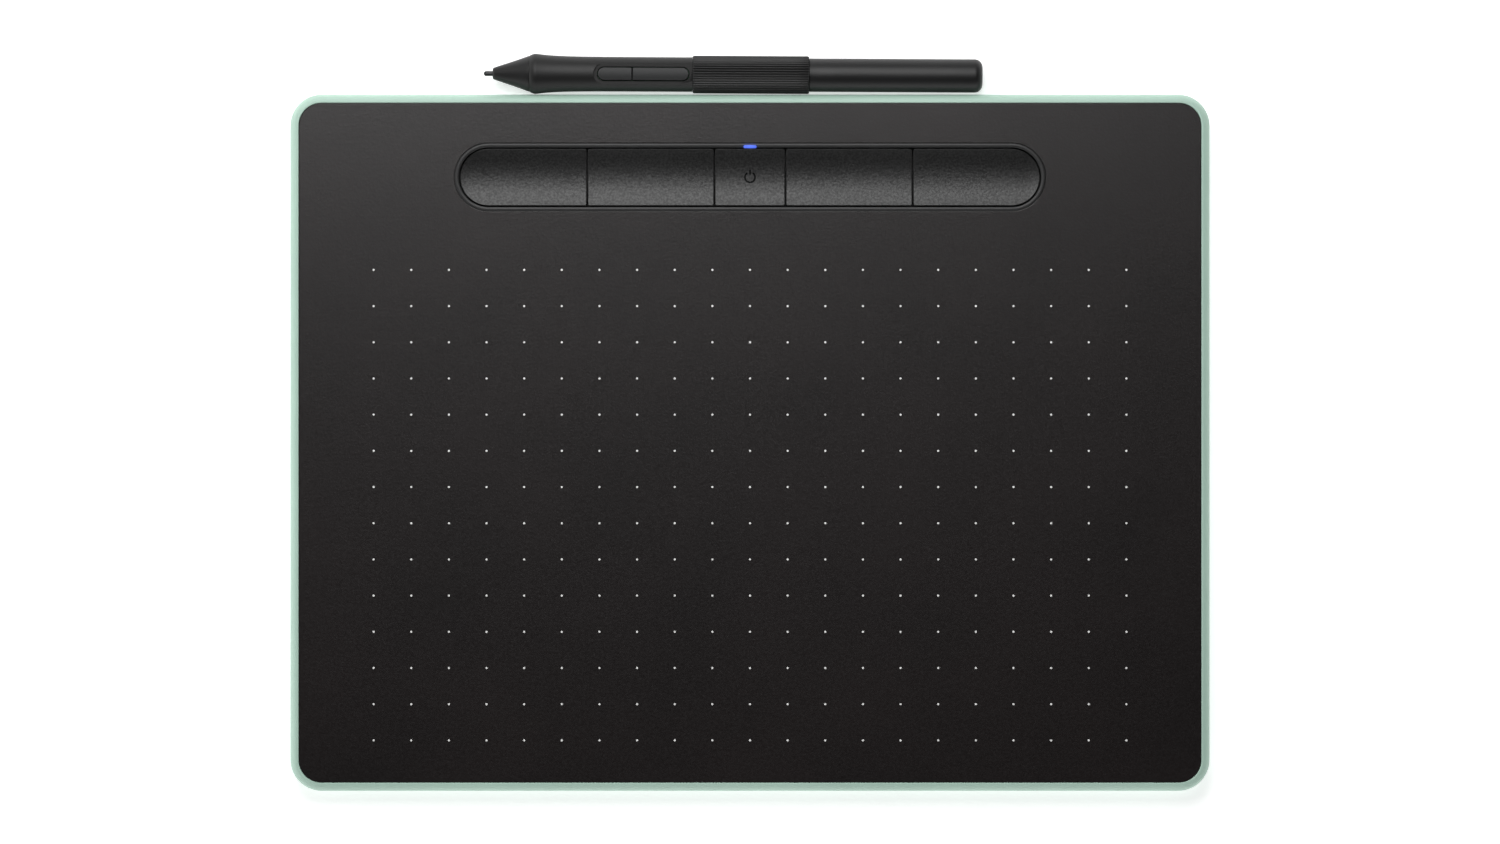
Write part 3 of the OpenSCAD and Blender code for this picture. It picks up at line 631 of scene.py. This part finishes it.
def key_loop_maker(x0, x1, steps=10):
    """Outline of one key between two cuts across the row, round-ended at the row's own ends."""
    def loop_at(inset):
        inset += key_trim
        loop = []
        for sx, sy, turn in ((1, 1, 0), (-1, 1, 1), (-1, -1, 2), (1, -1, 3)):
            edge = x1 if sx > 0 else x0
            at_end = abs(edge) > row_half_l - 1 * mm
            r = row_half_d if at_end else key_corner_r
            points = 24 if at_end else steps
            for i in range(points + 1):
                a = math.radians(90 * (turn + i / points))
                loop.append((edge - sx * r + (r - inset) * math.cos(a),
                             row_y + sy * (row_half_d - r) + (r - inset) * math.sin(a)))
        return loop
    return loop_at


# Standby mark, sunk 0.3 mm into the middle key: an open ring and a bar
mark_r = 1.7 * mm
mark_line = 0.5 * mm
mark_depth = 0.3 * mm
ring_open = 32                   # degrees to each side of the bar
mark_arc = [math.radians(90 + ring_open + (360 - 2 * ring_open) * i / 48) for i in range(49)]
mark_ring = [(r * math.cos(a), row_y + r * math.sin(a))
             for r, arc in ((mark_r, mark_arc), (mark_r - mark_line, mark_arc[::-1])) for a in arc]
mark_bar = [(x, y + row_y + 1.5 * mm) for x, y in outline(mark_line / 2, 0.75 * mm, mark_line * 0.45, 5)]

# Key ABS: spark-eroded like the case but coarser, so the trough looks softly speckled. The grain
# is about 0.2 mm on the real keys, drawn at 0.75 mm, and its pits hold less of the sheen.
key_abs, shader, place = new_finish("eroded_black_abs", "#080808", 0.46, 1.58)
eroded_grain(key_abs, shader, place, 0.75 * mm, 0.08 * mm, "#030303", "#0B0B0B", (0.38, 0.54))
pits = add_node(key_abs, "ShaderNodeTexNoise", {"Scale": 1 / (0.6 * mm), "Detail": 1.0}, {"Vector": place})
sheen = add_node(key_abs, "ShaderNodeMapRange",
                 {"From Min": 0.35, "From Max": 0.65, "To Min": 0.4, "To Max": 0.6},
                 {"Value": pits.outputs["Fac"]})
key_abs.node_tree.links.new(sheen.outputs["Result"], shader.inputs["Specular IOR Level"])
# Bottom of the sunk mark: matt black, so that it stays dark under any light
matt_mark, shader, place = new_finish("matt_black_mark", "#050505", 0.9, 1.45)
eroded_grain(matt_mark, shader, place, 0.4 * mm, 0.02 * mm, "#040404", "#060606")

for node_name, body in (("express_key_1", "left_outer_key"), ("express_key_2", "left_inner_key"),
                        ("power_key", "centre_key"), ("express_key_3", "right_inner_key"),
                        ("express_key_4", "right_outer_key")):
    key_low, key_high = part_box(node_name)
    marks = (mark_ring, mark_bar) if node_name == "power_key" else ()
    key_shape = pad(key_loop_maker(key_low.x, key_high.x), dish, key_edge_r, key_low.z, 0.8 * mm, marks,
                    mark_depth)
    key_mesh = finished_mesh(node_name + "_cap", key_shape)
    key_piece = fit_piece(node_name + "_cap", key_mesh, key_abs, body, "key", node_name)
    if marks:
        key_piece.data.materials.append(matt_mark)


# ---- Pen: placing ----
# The pen lies on its flare and the end of its sleeve. Its pieces are drawn along X from the nib's
# tip, with the side switches up, and this places them.

nib_low, nib_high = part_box("pen_nib")
travel = {j["name"]: Vector(j["axis"]).normalized() for j in frame["joints"]}
pen_axis = travel["nib_press"]
pen_up = -travel["pen_front_switch_press"]
pen_side = pen_up.cross(pen_axis)
nib_tip = (nib_low + nib_high) / 2 - pen_axis * (nib_high.x - nib_low.x) / 2
pen_place = Matrix((
    (pen_axis.x, pen_side.x, pen_up.x, nib_tip.x),
    (pen_axis.y, pen_side.y, pen_up.y, nib_tip.y),
    (pen_axis.z, pen_side.z, pen_up.z, nib_tip.z),
    (0, 0, 0, 1)))


# ---- Pen: nib ----
# A 25 mm rod of black acetal with a rounded tip, pushed into the holder through the nose.

nib_r = 0.73 * mm
nib_l = 25 * mm
nib_end_r = 0.2 * mm
axis_r = 0.02 * mm               # radius at which a turned profile meets the pen's axis
nib_profile = [(nib_r * (1 - math.cos(math.radians(a))), max(nib_r * math.sin(math.radians(a)), axis_r))
               for a in range(0, 91, 9)]
nib_profile += [(nib_l - nib_end_r, nib_r), (nib_l, nib_r - nib_end_r)]
# Acetal: hard and waxy, polished at the tip by use
black_acetal, shader, place = new_finish("black_acetal", "#1B1B1D", 0.32, 1.48)
eroded_grain(black_acetal, shader, place, 0.3 * mm, 0.002 * mm, "#171719", "#212123")
fit_piece("nib_rod", finished_mesh("nib_rod", turned(nib_profile, pen_place, 32)), black_acetal, "nib", "nib",
          "pen_nib")
dress(black_acetal, "spare_nibs")


# ---- Pen: nose cone ----
# A turned-looking cone of moulded PC/ABS with a rounded mouth round the nib. It plugs into the
# grip, and the joint shows as a fine groove.

# Bore, rounded mouth, cone, rounded rear edge and plug, in millimetres
nose_profile = [(17.1, 0.95), (2.9, 0.95), (2.65, 1.1), (2.6, 1.32), (2.72, 1.58), (3.1, 1.78), (4.7, 2.32),
                (7, 3.08), (9.3, 3.84), (11.6, 4.66), (12.8, 5.1), (13.02, 5.14), (13.1, 5.04), (13.1, 4.2),
                (17.1, 4.2), (17.1, 2.9)]
nose_profile = [(x * mm, r * mm) for x, r in nose_profile]

# PC/ABS with a fine satin grain, a touch glossier than the grip
pen_satin, shader, place = new_finish("satin_black_pc_abs", "#0A0A0B", 0.45, 1.45)
eroded_grain(pen_satin, shader, place, 0.25 * mm, 0.004 * mm, "#080809", "#0C0C0D", (0.4, 0.5))
nose_mesh = finished_mesh("nose_cone", turned(nose_profile, pen_place, 96, joined=True), 40)
fit_piece("nose_cone", nose_mesh, pen_satin, "pen", "pen_plastic", "pen_nose")


# ---- Pen: grip ----
# The grip swells to a flare behind the nose, so that the fingers don't slip, and narrows to a long
# waist. A flat milled into its top, round at the front, carries the two side switches.

grip_front, flare_x, sleeve_x = 13.1 * mm, 15.1 * mm, 60 * mm
flare_r, waist_r, grip_bore = 5.8 * mm, 4.97 * mm, 3.5 * mm
flare_decay = 5.4 * mm           # the flare fades to a third over this length
tail_r, tail_l = 4.35 * mm, 6 * mm
bed_z, bed_half_w, bed_front = 3.92 * mm, 3.07 * mm, 31.5 * mm
slot_front, slot_back, slot_r = 32.55 * mm, 59.15 * mm, 2.08 * mm
slot_floor, over_grip = 1 * mm, 9 * mm

grip_profile = [(grip_front, grip_bore), (grip_front, 5.08 * mm), (grip_front + 0.12 * mm, 5.24 * mm),
                (grip_front + 0.7 * mm, 5.53 * mm), (grip_front + 1.2 * mm, 5.7 * mm),
                (grip_front + 1.6 * mm, 5.77 * mm)]
grip_stations = [flare_x + 45 * mm * (i / 36) ** 1.8 for i in range(37)]
grip_profile += [(x, waist_r + (flare_r - waist_r) * math.exp(-(x - flare_x) / flare_decay))
                 for x in grip_stations if x < sleeve_x]
grip_profile += [(sleeve_x, waist_r), (sleeve_x, tail_r), (sleeve_x + tail_l, tail_r),
                 (sleeve_x + tail_l, grip_bore)]


def long_slot(x0, x1, r):
    """Outline of a slot along the pen, round at both ends."""
    half = (x1 - x0) / 2
    return unique([(x + x0 + half, y) for x, y in outline(half, r, r, 16)])


def placed(shape, place):
    """The same shape, moved to its place."""
    bmesh.ops.transform(shape, matrix=place, verts=shape.verts)
    return shape


bed_outline = long_slot(bed_front, sleeve_x + 2 * tail_l, bed_half_w)
bed_cutter = placed(prism(bed_outline, bed_z, over_grip), pen_place)
slot_cutter = placed(prism(long_slot(slot_front, slot_back, slot_r), slot_floor, over_grip), pen_place)
grip_blank = finished_mesh("grip_blank", turned(grip_profile, pen_place, 128, joined=True))
grip_mesh = carved("grip_moulding", grip_blank,
                   [finished_mesh("cutter", s) for s in (bed_cutter, slot_cutter)], 28)

# Soft-touch paint over ABS: very even and matt, with a wide, dim highlight
soft_touch, shader, place = new_finish("soft_touch_paint", "#0A0A0A", 0.5, 1.45)
eroded_grain(soft_touch, shader, place, 0.3 * mm, 0.004 * mm, "#080808", "#0C0C0C", (0.45, 0.55))
fit_piece("grip_moulding", grip_mesh, soft_touch, "pen", "pen_plastic", "pen_grip")


# ---- Pen: side switches ----
# Two satin ABS caps in one slot, the rear one longer. Their tops carry on the curve of the grip.

switch_r = 1.78 * mm
switch_top_r = waist_r + 0.12 * mm
switch_edge_r = 0.16 * mm
switch_low = 2 * mm
switch_gap = 0.3 * mm            # between the two caps
switch_front, switch_split, switch_back = 32.85 * mm, 42.7 * mm, 58.85 * mm


def switch_loop_maker(x0, x1, round_front):
    """Outline of one switch cap: round at the slot's end, nearly square where the two caps meet."""
    def loop_at(inset):
        loop = []
        for sx, sy, turn in ((1, 1, 0), (-1, 1, 1), (-1, -1, 2), (1, -1, 3)):
            r = switch_r if (sx < 0) == round_front else 0.3 * mm
            edge = x1 if sx > 0 else x0
            for i in range(13):
                a = math.radians(90 * (turn + i / 12))
                loop.append((edge - sx * r + (r - inset) * math.cos(a),
                             sy * (switch_r - r) + (r - inset) * math.sin(a)))
        return loop
    return loop_at


# ABS with a dull satin grain, a touch greyer than the grip round it
switch_abs, shader, place = new_finish("satin_switch_abs", "#1A1B1C", 0.6, 1.53)
eroded_grain(switch_abs, shader, place, 0.25 * mm, 0.004 * mm, "#18191A", "#1E1F20", (0.55, 0.65))
for node_name, body, x0, x1, round_front in (
        ("pen_switch_front", "pen_front_switch", switch_front, switch_split - switch_gap / 2, True),
        ("pen_switch_rear", "pen_rear_switch", switch_split + switch_gap / 2, switch_back, False)):
    cap = pad(switch_loop_maker(x0, x1, round_front), lambda x, y: math.sqrt(switch_top_r ** 2 - y ** 2),
              switch_edge_r, switch_low, 0.4 * mm)
    cap_mesh = finished_mesh(node_name + "_cap", placed(cap, pen_place))
    fit_piece(node_name + "_cap", cap_mesh, switch_abs, body, "pen_key", node_name)


# ---- Pen: ribbed sleeve ----
# A separate black elastomer sleeve with fine ribs along it, pushed over the joint between the
# grip and the rear half of the pen.

sleeve_end = 93.5 * mm
sleeve_r = 5.42 * mm
sleeve_bore = 4.38 * mm
rib_count = 44
rib_depth = 0.28 * mm
points_a_rib = 8
sleeve_angles = [2 * math.pi * i / (rib_count * points_a_rib) for i in range(rib_count * points_a_rib)]
sleeve_stations = [(0.02 * mm, 0.35 * mm), (0.14 * mm, 0.12 * mm), (0.4 * mm, 0)]


def rib_ring(x, shave):
    """Section of the sleeve: rounded ribs with narrow grooves between them."""
    ring = []
    for a in sleeve_angles:
        groove = abs(math.cos(a * rib_count / 2)) ** 3
        r = sleeve_r - shave - rib_depth * groove
        ring.append(pen_place @ Vector((x, r * math.cos(a), r * math.sin(a))))
    return ring


def bore_ring(x, r):
    """Plain round section with as many points as the ribbed one."""
    return [pen_place @ Vector((x, r * math.cos(a), r * math.sin(a))) for a in sleeve_angles]


sleeve_rings = [rib_ring(sleeve_x + x, shave) for x, shave in sleeve_stations]
sleeve_rings += [rib_ring(sleeve_x + (sleeve_end - sleeve_x) * i / 8, 0) for i in range(1, 8)]
sleeve_rings += [rib_ring(sleeve_end - x, shave) for x, shave in sleeve_stations[::-1]]
sleeve_rings += [bore_ring(sleeve_end - 0.02 * mm, sleeve_bore), bore_ring(sleeve_x + 0.02 * mm, sleeve_bore)]

# Thermoplastic elastomer: dull and deep black
sleeve_tpe, shader, place = new_finish("ribbed_tpe", "#070707", 0.5, 1.48)
eroded_grain(sleeve_tpe, shader, place, 0.3 * mm, 0.006 * mm, "#060606", "#090909")
sleeve_mesh = finished_mesh("ribbed_sleeve", loft(sleeve_rings, joined=True), 50)
fit_piece("ribbed_sleeve", sleeve_mesh, sleeve_tpe, "pen", "pen_sleeve", "pen_sleeve")


# ---- Pen: rear barrel ----
# A plain tube of satin PC/ABS, closed and softly rounded at the end. It pulls off the chassis to
# show the spare nibs.

pen_l = 143.3 * mm
barrel_r, barrel_bore, barrel_end_r = 4.8 * mm, 4.05 * mm, 2.3 * mm
barrel_end_wall = 4.3 * mm
barrel_front = sleeve_end + 0.02 * mm
barrel_profile = [(barrel_front, barrel_bore), (barrel_front, barrel_r - 0.15 * mm),
                  (barrel_front + 0.05 * mm, barrel_r - 0.04 * mm), (barrel_front + 0.15 * mm, barrel_r)]
barrel_profile += [(barrel_front + (pen_l - barrel_end_r - barrel_front) * i / 6, barrel_r)
                   for i in range(1, 6)]
barrel_profile += [(pen_l - barrel_end_r * (1 - math.sin(math.radians(a))),
                    barrel_r - barrel_end_r * (1 - math.cos(math.radians(a)))) for a in range(0, 91, 6)]
barrel_profile += [(pen_l, axis_r), (pen_l - barrel_end_wall, axis_r), (pen_l - barrel_end_wall, barrel_bore)]
barrel_mesh = finished_mesh("rear_barrel_tube", turned(barrel_profile, pen_place, 96, joined=True))
fit_piece("rear_barrel_tube", barrel_mesh, pen_satin, "rear_barrel", "pen_plastic", "pen_rear_barrel")
dress(black_abs, "pen_chassis")


# ---- Studio ----
# A plain white table in a room that is pale low down and dark overhead. One soft light hangs above
# and behind, and two wide dim ones stand at the left and in front. The camera looks straight down
# through a long lens.

floor_half = 3.0
floor_corners = [(sx * floor_half, sy * floor_half, 0) for sx, sy in ((-1, -1), (1, -1), (1, 1), (-1, 1))]
floor_data = bpy.data.meshes.new("table_top")
floor_data.from_pydata(floor_corners, [], [(0, 1, 2, 3)])
floor = bpy.data.objects.new("table_top", floor_data)
floor.location.z = -0.02 * mm
bpy.context.scene.collection.objects.link(floor)
# Matt laminate with a glow of its own, so that the table stays white right up to the part
table_white, shader, place = new_finish("matt_white_laminate", "#F4F4F4", 0.9)
shader.inputs["Specular IOR Level"].default_value = 0.1
shader.inputs["Emission Color"].default_value = (1, 1, 1, 1)
shader.inputs["Emission Strength"].default_value = 0.55
floor_data.materials.append(table_white)


def softbox(name, location, target, size_x, size_y, power):
    """A white rectangular light, aimed at a point."""
    light = bpy.data.lights.new(name, "AREA")
    light.shape = "RECTANGLE"
    light.size, light.size_y = size_x, size_y
    light.energy = power
    lamp = bpy.data.objects.new(name, light)
    lamp.location = location
    lamp.rotation_euler = (Vector(target) - Vector(location)).to_track_quat("-Z", "Y").to_euler()
    bpy.context.scene.collection.objects.link(lamp)


softbox("rear_softbox", (-0.07, 0.41, 0.6), (-0.02, 0, 0), 0.5, 0.48, 3.9)
softbox("left_softbox", (-1.2, 0.05, 0.36), (0, 0, 0.1), 2.0, 0.7, 5.1)
softbox("front_softbox", (0.0, -1.2, 0.36), (0, 0, 0.1), 2.2, 0.7, 5.0)
world = bpy.data.worlds.new("pale_room")
world.use_nodes = True
room = world.node_tree.nodes["Background"]
room.inputs["Color"].default_value = (1, 1, 1, 1)
aim = add_node(world, "ShaderNodeTexCoord")
parts = add_node(world, "ShaderNodeSeparateXYZ", {}, {"Vector": aim.outputs["Generated"]})
walls = add_node(world, "ShaderNodeMapRange",
                 {"interpolation_type": "SMOOTHSTEP", "From Min": 0.0, "From Max": 0.8,
                  "To Min": 0.8, "To Max": 0.03}, {"Value": parts.outputs["Z"]})
world.node_tree.links.new(walls.outputs["Result"], room.inputs["Strength"])
bpy.context.scene.world = world
bpy.context.scene.view_settings.view_transform = "Standard"

frame_w = 0.4304                 # width of the view at the height of the drawing surface
camera_up = 3.0
camera_shift = 5.95 * mm         # to the rear of the tablet's middle
lens = bpy.data.cameras.new("overhead")
lens.sensor_width = 36
lens.lens = lens.sensor_width * camera_up / frame_w
lens.clip_end = 20
camera = bpy.data.objects.new("overhead", lens)
camera.location = (0, case_y + camera_shift, camera_up + sheet_high.z)
bpy.context.scene.collection.objects.link(camera)
bpy.context.scene.camera = camera
